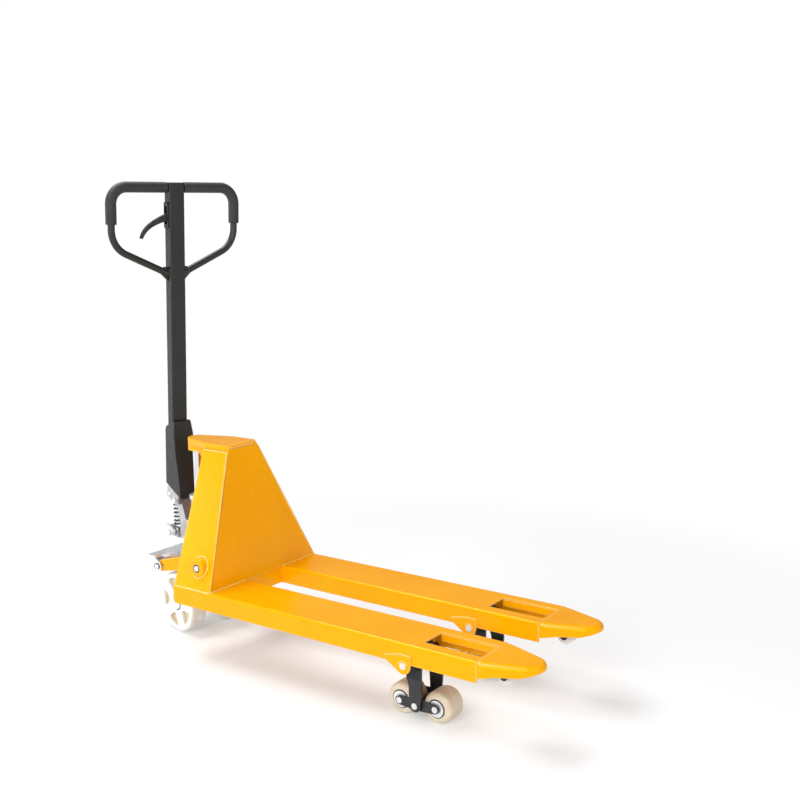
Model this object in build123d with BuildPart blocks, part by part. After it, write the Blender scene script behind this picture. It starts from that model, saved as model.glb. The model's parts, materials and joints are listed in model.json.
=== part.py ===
from build123d import *
from math import atan2, cos, hypot, pi, radians, sin
import os

os.makedirs("parts", exist_ok=True)

# A hand pallet truck, forks raised. Millimetres, +Z up, floor at Z = 0.
# +X runs along the forks to their tips and -Y is the near side.
# Heights and distances below are counted from the floor and from the steering axis.

# ---- driving dimensions -------------------------------------------------
lift_height = 120
fork_top = 205
fork_width = 150
fork_centre = 150
fork_depth = 51
sheet = 4
heel_x = 111
nose_x = 1102
tip_x = 1240
tip_radius = 45
nose_depth = 40
rear_reach = 154
steer_x = -(tip_x - rear_reach) / 2

wheel_radius = 90
wheel_width = 50
wheel_offset = 71
axle_radius = 12

roller_radius = 40
roller_width = 66
roller_pitch = 105
pivot_x = 898
pivot_z = 149
pivot_pin_radius = 9
leg_foot_x = 912
leg_foot_z = roller_radius
leg_offset = 46
window_rear_x = 934
window_front_x = 1097
window_width = 77

panel_foot_x = 250
panel_top_x = 180
panel_top_z = 579
panel_foot_half = 222
panel_top_half = 57
panel_corner = 18
panel_sheet = 5
panel_rear_foot_x = 113
panel_rear_top_x = 88
side_panel_top_z = 562

boss_x = 192
boss_z = 263
seat_pin_x = -60
seat_pin_z = boss_z - lift_height / 2
arm_inner = 110
arm_outer = 120
shaft_radius = 14
tube_radius = 22
lever_pin_x = boss_x + 19.6
lever_pin_z = boss_z - 82.3
push_pin_x = pivot_x + 19.6
push_pin_z = pivot_z + 20
push_pin_radius = 6.5

steer_angle = 13
lean_angle = 3.4
handle_pivot_x = -92
handle_pivot_z = 373
handle_tube_x = -33.6
handle_tube_depth = 30
handle_tube_width = 50
loop_z = 932.5
loop_half = 203
loop_radius = 10
grip_radius = 15.5
grip_drop = 105
rod_radius = 17
ram_cylinder_radius = 28
ram_cylinder_top = 392
plunger_x = -126
plunger_radius = 9
plunger_top = 368
plunger_stroke = 42
running_fit = 0.05


# ---- frames and small tools --------------------------------------------
truck = Plane(origin=(steer_x, 0, 0))
pump_x = (cos(radians(steer_angle)), -sin(radians(steer_angle)), 0)
pump = Plane(origin=(steer_x, 0, 0), x_dir=pump_x, z_dir=(0, 0, 1))
lean_sin = sin(radians(lean_angle))
lean_cos = cos(radians(lean_angle))
handle = Plane(
    origin=pump.from_local_coords((handle_pivot_x, 0, handle_pivot_z)),
    x_dir=pump.x_dir * lean_cos - pump.z_dir * lean_sin,
    z_dir=pump.x_dir * lean_sin + pump.z_dir * lean_cos,
)


def side_view(frame, y=0):
    """The plane of a side elevation: sketch x is forward, sketch y is up, extruding goes to -Y."""
    return Plane(origin=frame.from_local_coords((0, y, 0)), x_dir=frame.x_dir, z_dir=-frame.y_dir)


def top_view(frame, z=0):
    """The plane of a plan: sketch x is forward, sketch y is to the far side, extruding goes up."""
    return Plane(origin=frame.from_local_coords((0, 0, z)), x_dir=frame.x_dir, z_dir=frame.z_dir)


def front_view(frame, x=0):
    """The plane of an end view: sketch x is to the far side, sketch y is up, extruding goes forward."""
    return Plane(origin=frame.from_local_coords((x, 0, 0)), x_dir=frame.y_dir, z_dir=frame.x_dir)


def bar(frame, x, z, radius, y_from, y_to, mode=Mode.ADD):
    """A round bar, or a round hole, across the truck."""
    with BuildSketch(side_view(frame, y_to)) as disc:
        with Locations((x, z)):
            Circle(radius)
    extrude(disc.sketch, amount=y_to - y_from, mode=mode)


def post(frame, x, y, radius, z_from, z_to, mode=Mode.ADD):
    """A round post, or a round hole, that stands upright."""
    with BuildSketch(top_view(frame, z_from)) as disc:
        with Locations((x, y)):
            Circle(radius)
    extrude(disc.sketch, amount=z_to - z_from, mode=mode)


def block(frame, x_from, x_to, y_from, y_to, z_from, z_to, mode=Mode.ADD):
    """A square block, or a square opening."""
    with BuildSketch(top_view(frame, z_from)) as base:
        with Locations(((x_from + x_to) / 2, (y_from + y_to) / 2)):
            Rectangle(x_to - x_from, y_to - y_from)
    extrude(base.sketch, amount=z_to - z_from, mode=mode)


def plate(frame, outline, y_from, y_to, mode=Mode.ADD):
    """A flat plate standing in a side elevation, from the corners of its outline."""
    with BuildSketch(side_view(frame, y_to)) as face:
        with BuildLine():
            Polyline(*outline, close=True)
        make_face()
    extrude(face.sketch, amount=y_to - y_from, mode=mode)


def link(frame, ends, y_from, y_to, mode=Mode.ADD):
    """A flat link with a round eye at each of its ends, given as (x, z, radius)."""
    with BuildSketch(side_view(frame, y_to)) as face:
        for x, z, radius in ends:
            with Locations((x, z)):
                Circle(radius)
        make_hull()
    extrude(face.sketch, amount=y_to - y_from, mode=mode)


def save(piece, node):
    piece.label = node
    export_step(piece, f"parts/{node}.step")


def save_pair(piece, node):
    """The near piece as modelled, and its mirror image on the far side."""
    save(piece, f"{node}_near")
    save(mirror(piece, about=Plane.XZ), f"{node}_far")


# ---- forks --------------------------------------------------------------
near = -fork_centre
fork_inner = near + fork_width / 2
fork_outer = near - fork_width / 2

with BuildPart() as fork_channel:
    with BuildSketch(front_view(truck, heel_x)) as skin:
        with Locations((near, fork_top)):
            Rectangle(fork_width, fork_depth, align=(Align.CENTER, Align.MAX))
        fillet(skin.vertices().group_by(Axis.Y)[-1], 7)
        with Locations((near, fork_top - sheet)):
            Rectangle(
                fork_width - 2 * sheet,
                fork_depth,
                align=(Align.CENTER, Align.MAX),
                mode=Mode.SUBTRACT,
            )
    extrude(amount=nose_x - heel_x)
    # Window over the load rollers.
    with BuildSketch(top_view(truck, fork_top - sheet - 1)) as window:
        with Locations(((window_rear_x + window_front_x) / 2, near)):
            RectangleRounded(window_front_x - window_rear_x, window_width, 5)
    extrude(window.sketch, amount=sheet + 2, mode=Mode.SUBTRACT)
    # Slot for the rocker's rod levers, and a rounded lower corner at the heel.
    slot_low = fork_top - sheet - 1
    block(truck, boss_x - 38, boss_x + 38, near - 20, near + 20, slot_low, fork_top + 1, Mode.SUBTRACT)
    # Shallow groove under the weld along the foot of the front panel.
    groove_x = panel_foot_x + 1
    groove_low = fork_top - 0.4
    block(truck, groove_x, groove_x + 1.5, fork_outer - 1, fork_inner + 1, groove_low, fork_top + 1, Mode.SUBTRACT)
    bar(truck, pivot_x, pivot_z, pivot_pin_radius, fork_outer - 1, fork_inner + 1, Mode.SUBTRACT)
    heel_corners = fork_channel.edges().filter_by(Axis.Y).group_by(Axis.X)[0].group_by(Axis.Z)[0]
    fillet(heel_corners, 8)
save_pair(fork_channel.part, "fork_channel")

with BuildPart() as fork_noses:
    for centre in (-fork_centre, fork_centre):
        with BuildSketch(top_view(truck, fork_top)):
            with Locations((nose_x + 6, centre)):
                Rectangle(12, fork_width)
            with Locations((tip_x - tip_radius, centre)):
                Circle(tip_radius)
            make_hull()
        extrude(amount=-nose_depth)
    tops = fork_noses.faces().filter_by(Axis.Z).group_by(Axis.Z)[-1]
    rims = tops.edges().filter_by(lambda edge: edge.center().X > steer_x + nose_x + 2)
    fillet(rims, 13)
    for centre in (-fork_centre, fork_centre):
        # The rim gets lower towards the tip, and the nose is open underneath.
        rise = (
            (nose_x, fork_top - nose_depth),
            (nose_x, 150),
            (tip_x + 5, 150),
            (tip_x + 5, fork_top - 15),
            (tip_x - 10, fork_top - 19),
            (tip_x - 40, fork_top - 28),
            (nose_x + 45, fork_top - 31),
        )
        plate(truck, rise, centre - fork_width, centre + fork_width, Mode.SUBTRACT)
        with BuildSketch(top_view(truck, fork_top - sheet)):
            with Locations((nose_x + 6, centre)):
                Rectangle(13, fork_width - 2 * sheet)
            with Locations((tip_x - tip_radius - 2, centre)):
                Circle(tip_radius - sheet)
            make_hull()
        extrude(amount=-nose_depth, mode=Mode.SUBTRACT)
save(fork_noses.part, "fork_noses")

liner_z = fork_top - sheet - 19
with BuildPart() as window_liners:
    for centre in (-fork_centre, fork_centre):
        for side in (-1, 1):
            wall = centre + side * (window_width / 2 + 1.5)
            block(truck, window_rear_x, window_front_x, wall - 1.5, wall + 1.5, liner_z, fork_top - sheet)
        half = window_width / 2
        block(truck, nose_x, nose_x + 3, centre - half, centre + half, liner_z, fork_top - sheet)
save(window_liners.part, "window_liners")

ear_sheet = 3
with BuildPart() as pivot_ears:
    for centre in (-fork_centre, fork_centre):
        for side in (-1, 1):
            inside = centre + side * fork_width / 2
            outside = inside + side * ear_sheet
            ear = ((pivot_x, pivot_z, 21), (pivot_x - 52, 163, 5), (pivot_x + 18, 170, 6), (pivot_x, 168, 9))
            link(truck, ear, min(inside, outside), max(inside, outside))
            bar(truck, pivot_x, pivot_z, pivot_pin_radius, inside - 9, inside + 9, Mode.SUBTRACT)
save(pivot_ears.part, "pivot_ears")

pin_proud = 2
with BuildPart() as roller_pivot_pins:
    for centre in (-fork_centre, fork_centre):
        reach = fork_width / 2 + ear_sheet + pin_proud
        bar(truck, pivot_x, pivot_z, pivot_pin_radius, centre - reach, centre + reach)
    chamfer(roller_pivot_pins.edges().filter_by(GeomType.CIRCLE), 1)
save(roller_pivot_pins.part, "roller_pivot_pins")

entry_x = 1150
entry_z = 165
entry_radius = 22
entry_half = 27
entry_pin_radius = 5
with BuildPart() as entry_roller_mounts:
    for centre in (-fork_centre, fork_centre):
        for side in (-1, 1):
            cheek = centre + side * (entry_half + 4)
            hung_z = fork_top - sheet - 2
            shape = ((entry_x, entry_z, 9), (entry_x - 14, hung_z, 2), (entry_x + 14, hung_z, 2))
            link(truck, shape, cheek - 2, cheek + 2)
        bar(truck, entry_x, entry_z, entry_pin_radius, centre - entry_half - 8, centre + entry_half + 8)
save(entry_roller_mounts.part, "entry_roller_mounts")

with BuildPart() as entry_roller:
    bar(truck, entry_x, entry_z, entry_radius, near - entry_half, near + entry_half)
    bar(truck, entry_x, entry_z, entry_pin_radius + running_fit, near - 50, near + 50, Mode.SUBTRACT)
    rims = entry_roller.edges().filter_by(GeomType.CIRCLE).sort_by(SortBy.RADIUS)[-2:]
    fillet(rims, 4)
save_pair(entry_roller.part, "entry_roller")

# ---- A-frame ------------------------------------------------------------
panel_rise = panel_top_z - fork_top
panel_run = panel_foot_x - panel_top_x
panel_slope = hypot(panel_rise, panel_run)
front_plane = Plane(
    origin=truck.from_local_coords((panel_foot_x, 0, fork_top)),
    x_dir=(0, 1, 0),
    z_dir=(panel_rise, 0, panel_run),
)
with BuildPart() as front_panel:
    with BuildSketch(front_plane) as trapezoid:
        foot = -4
        with BuildLine():
            Polyline(
                (-panel_foot_half, foot),
                (panel_foot_half, foot),
                (panel_top_half, panel_slope),
                (-panel_top_half, panel_slope),
                close=True,
            )
        make_face()
        fillet(trapezoid.vertices().group_by(Axis.Y)[-1], panel_corner)
    extrude(amount=-panel_sheet)
    outer_face = front_panel.faces().sort_by(Axis((0, 0, 0), (panel_rise, 0, panel_run)))[-1]
    bent_edges = outer_face.edges().filter_by(lambda edge: edge.center().Z > fork_top + 20)
    fillet(bent_edges, 4)
    block(truck, 200, 300, -400, 400, 100, fork_top, Mode.SUBTRACT)
    # Tongue that closes the gap between the forks.
    block(truck, panel_foot_x - 6, panel_foot_x - 1, fork_inner + 0.1, -fork_inner - 0.1, 155, fork_top)
save(front_panel.part, "front_panel")

side_rise = panel_top_z - fork_top
side_run = panel_foot_half - panel_top_half
side_plane = Plane(
    origin=truck.from_local_coords((0, -panel_foot_half, fork_top)),
    x_dir=(1, 0, 0),
    z_dir=(0, -side_rise, side_run),
)
side_slope = hypot(side_rise, side_run)
top_share = (side_panel_top_z - fork_top) / side_rise
with BuildPart() as side_panel:
    with BuildSketch(side_plane):
        with BuildLine():
            Polyline(
                (panel_rear_foot_x, -5),
                (panel_foot_x + 2, -5),
                (panel_top_x, side_slope),
                (panel_rear_top_x, side_slope * top_share),
                close=True,
            )
        make_face()
    extrude(amount=-panel_sheet)
    block(truck, 0, 400, -400, 0, side_panel_top_z, 700, Mode.SUBTRACT)
    block(truck, 0, 400, -400, 0, 0, fork_top, Mode.SUBTRACT)
    add(front_panel.part, mode=Mode.SUBTRACT)
    bar(truck, boss_x, boss_z, 26, -260, 0, Mode.SUBTRACT)
save_pair(side_panel.part, "side_panel")

bracket_low = 541
with BuildPart() as top_bracket:
    with BuildSketch(top_view(truck, side_panel_top_z)) as cap:
        Circle(29)
        with Locations(((panel_rear_top_x + panel_top_x) / 2 + 1, 0)):
            Rectangle(panel_top_x - panel_rear_top_x + 2, 2 * panel_top_half + 6)
        make_hull()
        fillet(cap.vertices().group_by(Axis.X)[-1], 12)
    extrude(amount=panel_top_z - side_panel_top_z)
    upper_rim = top_bracket.faces().sort_by(Axis.Z)[-1].edges()
    fillet(upper_rim.filter_by(lambda edge: edge.center().X < steer_x + panel_top_x), 3)
    with BuildSketch(top_view(truck, bracket_low)):
        Circle(29)
        with Locations((60, 0)):
            Rectangle(60, 58)
        make_hull()
    extrude(amount=side_panel_top_z - bracket_low)
    gusset = ((30, 541), (46, 527), (92, 520), (168, 520), (168, 562), (30, 562))
    plate(truck, gusset, -29, 29)
    post(truck, 0, 0, rod_radius, bracket_low - 1, 565, Mode.SUBTRACT)
    add(front_panel.part, mode=Mode.SUBTRACT)
save(top_bracket.part, "top_bracket")

with BuildPart() as heel_plate:
    block(truck, 150, panel_foot_x - 6.5, fork_inner, -fork_inner, fork_top - 8, fork_top)
    block(truck, 150, 158, fork_inner, -fork_inner, fork_top - 46, fork_top - 8)
save(heel_plate.part, "heel_plate")

boss_face = 212
shaft_end = boss_face - 6
stud_radius = 8.5
ring_radius = 12
with BuildPart() as rocker_bosses:
    for side in (-1, 1):
        inner_end = side * 180
        outer_end = side * boss_face
        bar(truck, boss_x, boss_z, 26, min(inner_end, outer_end), max(inner_end, outer_end))
    rims = rocker_bosses.edges().filter_by(GeomType.CIRCLE)
    fillet(rims.filter_by(lambda edge: abs(edge.center().Y) > boss_face - 1), 4)
    bar(truck, boss_x, boss_z, ring_radius, -boss_face - 1, boss_face + 1, Mode.SUBTRACT)
    bar(truck, boss_x, boss_z, shaft_radius, -shaft_end, shaft_end, Mode.SUBTRACT)
save(rocker_bosses.part, "rocker_bosses")

with BuildPart() as rocker_shaft:
    bar(truck, boss_x, boss_z, shaft_radius, -shaft_end, shaft_end)
    # A threaded stud at each end comes out through the ring.
    bar(truck, boss_x, boss_z, stud_radius, -boss_face - 2, boss_face + 2)
    ends = rocker_shaft.faces().filter_by(Axis.Y).filter_by(lambda face: abs(face.center().Y) > boss_face)
    chamfer(ends.edges(), 1.5)
save(rocker_shaft.part, "rocker_shaft")

with BuildPart() as shaft_rings:
    for side in (-1, 1):
        low = min(side * shaft_end, side * boss_face)
        bar(truck, boss_x, boss_z, ring_radius - 0.2, low, low + boss_face - shaft_end)
    bar(truck, boss_x, boss_z, stud_radius, -boss_face - 2, boss_face + 2, Mode.SUBTRACT)
save(shaft_rings.part, "shaft_rings")

with BuildPart() as piston_rod:
    post(truck, 0, 0, rod_radius, 290, 565)
    chamfer(piston_rod.edges().filter_by(GeomType.CIRCLE), 2)
save(piston_rod.part, "piston_rod")

# ---- bearing seat -------------------------------------------------------
seat_low = 226
seat_high = 234
seat_rear = -98
ear_inner = 123
ear_outer = 128
with BuildPart() as bearing_seat:
    with BuildSketch(top_view(truck, seat_low)):
        with BuildLine():
            Polyline(
                (seat_rear, -ear_outer),
                (-66, -ear_outer),
                (-66, -106),
                (30, -70),
                (52, -30),
                (52, 30),
                (30, 70),
                (-66, 106),
                (-66, ear_outer),
                (seat_rear, ear_outer),
                close=True,
            )
        make_face()
        Circle(38, mode=Mode.SUBTRACT)
    extrude(amount=seat_high - seat_low)
    block(truck, seat_rear, seat_rear + 5, -ear_outer, ear_outer, 182, seat_low)
    for side in (-1, 1):
        low = min(side * ear_inner, side * ear_outer)
        ear = ((seat_rear + 4, 187, 3), (seat_rear + 4, 227, 3), (seat_pin_x, seat_pin_z, 16), (-73, 227, 4))
        link(truck, ear, low, low + 5)
        bar(truck, seat_pin_x, seat_pin_z, 8, low - 1, low + 6, Mode.SUBTRACT)
        # Inner lug that carries the other end of the pin.
        low = min(side * 98, side * 106)
        lug_top = seat_low + 2
        lug = ((seat_pin_x, seat_pin_z, 14), (seat_pin_x - 14, lug_top, 1), (seat_pin_x + 16, lug_top, 1))
        link(truck, lug, low, low + 8)
        bar(truck, seat_pin_x, seat_pin_z, 8, low - 1, low + 9, Mode.SUBTRACT)
save(bearing_seat.part, "bearing_seat")

with BuildPart() as seat_pins:
    for side in (-1, 1):
        low = min(side * 97, side * 131)
        bar(truck, seat_pin_x, seat_pin_z, 8, low, low + 34)
    chamfer(seat_pins.edges().filter_by(GeomType.CIRCLE), 1)
save(seat_pins.part, "seat_pins")

bearing_low = 210
with BuildPart() as thrust_bearing:
    for radius, z_from, z_to in ((55, bearing_low, bearing_low + 5), (52, 215, 221), (55, 221, seat_low)):
        post(truck, 0, 0, radius, z_from, z_to)
    post(truck, 0, 0, 36, bearing_low - 1, seat_low + 1, Mode.SUBTRACT)
save(thrust_bearing.part, "thrust_bearing")

# ---- rocker -------------------------------------------------------------
with BuildPart() as rocker_tube:
    bar(truck, boss_x, boss_z, tube_radius, -164, 164)
    # Levers for the push rods are welded on its ends.
    for centre in (-fork_centre, fork_centre):
        for side in (-1, 1):
            cheek = centre + side * 11
            link(truck, ((boss_x, boss_z, 28), (lever_pin_x, lever_pin_z, 13)), cheek - 3, cheek + 3)
        bar(truck, lever_pin_x, lever_pin_z, push_pin_radius, centre - 16, centre + 16)
    bar(truck, boss_x, boss_z, shaft_radius + running_fit, -170, 170, Mode.SUBTRACT)
save(rocker_tube.part, "rocker_tube")

arm_angle = atan2(boss_z - seat_pin_z, boss_x - seat_pin_x)
slot_travel = 8
slot_radius = 9.1
with BuildPart() as rocker_arm:
    ends = ((boss_x, boss_z, 28), (seat_pin_x, seat_pin_z, 16))
    link(truck, ends, -arm_outer, -arm_inner)
    bar(truck, boss_x, boss_z, tube_radius, -arm_outer - 1, -arm_inner + 1, Mode.SUBTRACT)
    # The pin hole is a slot along the arm, because the seat only moves straight up.
    slot = (
        (seat_pin_x, seat_pin_z, slot_radius),
        (seat_pin_x + slot_travel * cos(arm_angle), seat_pin_z + slot_travel * sin(arm_angle), slot_radius),
    )
    link(truck, slot, -arm_outer - 1, -arm_inner + 1, Mode.SUBTRACT)
save_pair(rocker_arm.part, "rocker_arm")

# ---- push rods ----------------------------------------------------------
rod_half = 6
prong_half = 14
prong_low = pivot_z + 16
slot_half = push_pin_radius + 1.2
with BuildPart() as push_rod:
    rod = ((lever_pin_x, lever_pin_z, 11), (push_pin_x, push_pin_z + 8, 8))
    link(truck, rod, near - rod_half, near + rod_half)
    head = ((push_pin_x - prong_half + 3, prong_low + 3, 3), (push_pin_x + prong_half - 3, prong_low + 3, 3))
    crown = ((push_pin_x - 8, push_pin_z + 20, 6), (push_pin_x + 8, push_pin_z + 20, 6))
    link(truck, head + crown, near - rod_half, near + rod_half)
    bar(truck, lever_pin_x, lever_pin_z, push_pin_radius + running_fit, near - 9, near + 9, Mode.SUBTRACT)
    # The front eye is an upright slot, open below, that rides over the pivot hub.
    slot = ((push_pin_x, prong_low - 10, slot_half), (push_pin_x, push_pin_z + 11, slot_half))
    link(truck, slot, near - 9, near + 9, Mode.SUBTRACT)
save_pair(push_rod.part, "push_rod")

# ---- load roller frames -------------------------------------------------
leg_half = 3
leg_top_offset = 39
joggle_high = pivot_z - 12
joggle_low = pivot_z - 42
hub_radius = 13
tandem_pin_radius = 8
with BuildPart() as legs:
    link(truck, ((pivot_x + 3, pivot_z, 24), (leg_foot_x + 1, 92, 19)), near - 60, near + 60)
    link(truck, ((leg_foot_x + 1, 92, 19), (leg_foot_x, leg_foot_z, 16)), near - 60, near + 60)
    # Each leg is pressed outwards a little below the pivot, to pass outside the rollers.
    with BuildSketch(front_view(truck, pivot_x - 60)) as pressed:
        for side in (-1, 1):
            inside_top = near + side * (leg_top_offset - leg_half)
            outside_top = near + side * (leg_top_offset + leg_half)
            inside = near + side * (leg_offset - leg_half)
            outside = near + side * (leg_offset + leg_half)
            with BuildLine():
                Polyline(
                    (inside_top, 200),
                    (outside_top, 200),
                    (outside_top, joggle_high),
                    (outside, joggle_low),
                    (outside, 0),
                    (inside, 0),
                    (inside, joggle_low),
                    (inside_top, joggle_high),
                    close=True,
                )
            make_face()
    extrude(pressed.sketch, amount=120, mode=Mode.INTERSECT)

with BuildPart() as roller_frame:
    bar(truck, pivot_x, pivot_z, hub_radius, near - 68, near + 68)
    add(legs.part)
    for side in (-1, 1):
        cheek = near + side * 11
        link(truck, ((pivot_x, pivot_z, hub_radius), (push_pin_x, push_pin_z, 11)), cheek - 3, cheek + 3)
    bar(truck, pivot_x, pivot_z, pivot_pin_radius + running_fit, near - 80, near + 80, Mode.SUBTRACT)
    bar(truck, push_pin_x, push_pin_z, push_pin_radius, near - 16, near + 16)
    for side in (-1, 1):
        leg = near + side * leg_offset
        bar(truck, leg_foot_x, leg_foot_z, tandem_pin_radius + running_fit, leg - 4, leg + 4, Mode.SUBTRACT)
save_pair(roller_frame.part, "roller_frame")

front_roller_x = leg_foot_x + roller_pitch / 2
rear_roller_x = leg_foot_x - roller_pitch / 2
roller_axle_radius = 8
with BuildPart() as tandem_link:
    for side in (-1, 1):
        cheek = near + side * 38.7
        rear_end = (rear_roller_x, roller_radius, 11)
        front_end = (front_roller_x, roller_radius, 11)
        ends = (rear_end, (leg_foot_x, leg_foot_z, 15), front_end)
        link(truck, ends, cheek - 2.5, cheek + 2.5)
    # The two cheeks are joined by a sleeve on the tandem pin.
    bar(truck, leg_foot_x, leg_foot_z, 11.5, near - 38, near + 38)
    bar(truck, leg_foot_x, leg_foot_z, tandem_pin_radius, near - 50, near + 50, Mode.SUBTRACT)
    for x in (rear_roller_x, front_roller_x):
        bar(truck, x, roller_radius, roller_axle_radius, near - 50, near + 50, Mode.SUBTRACT)
save_pair(tandem_link.part, "tandem_link")

with BuildPart() as roller_axles:
    for x in (rear_roller_x, front_roller_x):
        bar(truck, x, roller_radius, roller_axle_radius, near - 42, near + 42)
        for side in (-1, 1):
            cup = near + side * 32
            bar(truck, x, roller_radius, 21, cup - 3, cup + 3)
    pin_reach = leg_offset + leg_half + 3
    bar(truck, leg_foot_x, leg_foot_z, tandem_pin_radius, near - pin_reach, near + pin_reach)
save_pair(roller_axles.part, "roller_axles")

for place, x in (("front", front_roller_x), ("rear", rear_roller_x)):
    with BuildPart() as load_roller:
        half = roller_width / 2
        bar(truck, x, roller_radius, roller_radius, near - half, near + half)
        rims = load_roller.edges().filter_by(GeomType.CIRCLE).sort_by(SortBy.RADIUS)[-2:]
        fillet(rims, 12)
        bar(truck, x, roller_radius, roller_axle_radius + running_fit, near - 50, near + 50, Mode.SUBTRACT)
        for side in (-1, 1):
            mouth = near + side * half
            floor_of_cup = near + side * (half - 5)
            low = min(mouth + side, floor_of_cup)
            bar(truck, x, roller_radius, 24, low, low + 6, Mode.SUBTRACT)
    save_pair(load_roller.part, f"load_roller_{place}")

# ---- pump ---------------------------------------------------------------
with BuildPart() as pump_body:
    block(pump, -38, 38, -43, 43, 62, 178)
    fillet(pump_body.edges().filter_by(Axis.Z), 10)
    post(pump, 0, 0, 43, 150, 195)
    post(pump, 0, 0, 54, 195, bearing_low)
    post(pump, 0, 0, 34, bearing_low, 322)
    # Arm to the rear over the seat, with the plunger block at its end.
    plate(pump, ((-100, 254), (0, 254), (0, 318), (-60, 318), (-88, 300)), -20, 20)
    link(pump, ((handle_pivot_x, handle_pivot_z, 14), (-74, 300, 12), (-62, 300, 14)), -20, 20)
    block(pump, -149, -96, -25, 25, 254, 284)
    fillet(pump_body.edges().filter_by(Axis.Z).group_by(Axis.X)[0], 6)
    post(pump, plunger_x, 0, 20, 250, 290, Mode.SUBTRACT)
    post(pump, 0, 0, ram_cylinder_radius, 160, 330, Mode.SUBTRACT)
    bar(pump, 0, wheel_radius, axle_radius, -60, 60, Mode.SUBTRACT)
    bar(pump, handle_pivot_x, handle_pivot_z, 8, -30, 30, Mode.SUBTRACT)
save(pump_body.part, "pump_body")

with BuildPart() as hydraulic_cylinder:
    post(pump, 0, 0, ram_cylinder_radius, 160, ram_cylinder_top)
    post(pump, 0, 0, rod_radius + running_fit, 165, ram_cylinder_top + 1, Mode.SUBTRACT)
save(hydraulic_cylinder.part, "hydraulic_cylinder")

with BuildPart() as gland_nut:
    with BuildSketch(top_view(pump, ram_cylinder_top)):
        RegularPolygon(33, 8)
        Circle(rod_radius + running_fit, mode=Mode.SUBTRACT)
    extrude(amount=12)
    chamfer(gland_nut.faces().sort_by(Axis.Z)[-1].edges(), 1)
save(gland_nut.part, "gland_nut")

neck_top = plunger_top - 8 - plunger_stroke - 2
with BuildPart() as plunger_housing:
    post(pump, plunger_x, 0, 20, 254, 284)
    post(pump, plunger_x, 0, 12.5, 284, neck_top)
    post(pump, plunger_x, 0, plunger_radius + running_fit, 257, neck_top + 1, Mode.SUBTRACT)
save(plunger_housing.part, "plunger_housing")

with BuildPart() as plunger:
    post(pump, plunger_x, 0, plunger_radius, 301, plunger_top - 8)
    post(pump, plunger_x, 0, 17.5, plunger_top - 8, plunger_top)
    chamfer(plunger.faces().sort_by(Axis.Z)[-1].edges(), 2)
save(plunger.part, "plunger")

spring_wire = 2.4
spring_low = 284
spring_high = plunger_top - 8
spring_coil_radius = 15.6
with BuildPart() as plunger_spring:
    with BuildLine(top_view(pump, spring_low + spring_wire)) as coil:
        Helix(
            pitch=(spring_high - spring_low - 2 * spring_wire) / 6,
            height=spring_high - spring_low - 2 * spring_wire,
            radius=spring_coil_radius,
            center=(plunger_x, 0, 0),
        )
    with BuildSketch(Plane(origin=coil.line @ 0, z_dir=coil.line % 0)):
        Circle(spring_wire - 0.1)
    sweep(is_frenet=True)
save(plunger_spring.part, "plunger_spring")

valve_x = -118
valve_z = 270
with BuildPart() as release_valve:
    bar(pump, valve_x, valve_z, 8, -40, -25)
    with BuildSketch(side_view(pump, -40)) as head:
        with Locations((valve_x, valve_z)):
            RegularPolygon(11, 6)
    extrude(head.sketch, amount=7)
save(release_valve.part, "release_valve")

with BuildPart() as release_lever:
    link(pump, ((valve_x, valve_z, 13), (valve_x - 27, valve_z + 14, 6)), -35, -29)
    link(pump, ((valve_x, valve_z, 8), (valve_x - 24, valve_z - 8, 4)), -35, -29)
    bar(pump, valve_x, valve_z, 8 + running_fit, -36, -28, Mode.SUBTRACT)
    bar(pump, valve_x - 27, valve_z + 14, 2.5, -36, -28, Mode.SUBTRACT)
save(release_lever.part, "release_lever")

with BuildPart() as handle_pivot_pin:
    bar(pump, handle_pivot_x, handle_pivot_z, 8, -38, 38)
    chamfer(handle_pivot_pin.edges().filter_by(GeomType.CIRCLE), 1)
save(handle_pivot_pin.part, "handle_pivot_pin")

# ---- steering wheels ----------------------------------------------------
axle_end = wheel_offset + wheel_width / 2 + 4
pocket_inner = 38
pocket_outer = 73
spokes = 5
spoke_width = 34
with BuildPart() as steering_axle:
    bar(pump, 0, wheel_radius, axle_radius, -axle_end, axle_end)
    chamfer(steering_axle.edges().filter_by(GeomType.CIRCLE), 1.5)
save(steering_axle.part, "steering_axle")

with BuildPart() as axle_caps:
    for side in (-1, 1):
        outer = side * (axle_end - 1)
        inner = side * (wheel_offset + wheel_width / 2 - 5)
        low = min(outer, inner)
        high = max(outer, inner)
        bar(pump, 0, wheel_radius, 21, low, high)
        bar(pump, 0, wheel_radius, axle_radius, low - 1, high + 1, Mode.SUBTRACT)
    rims = axle_caps.edges().filter_by(GeomType.CIRCLE).sort_by(SortBy.RADIUS)[-4:]
    chamfer(rims, 1.5)
save(axle_caps.part, "axle_caps")

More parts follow.
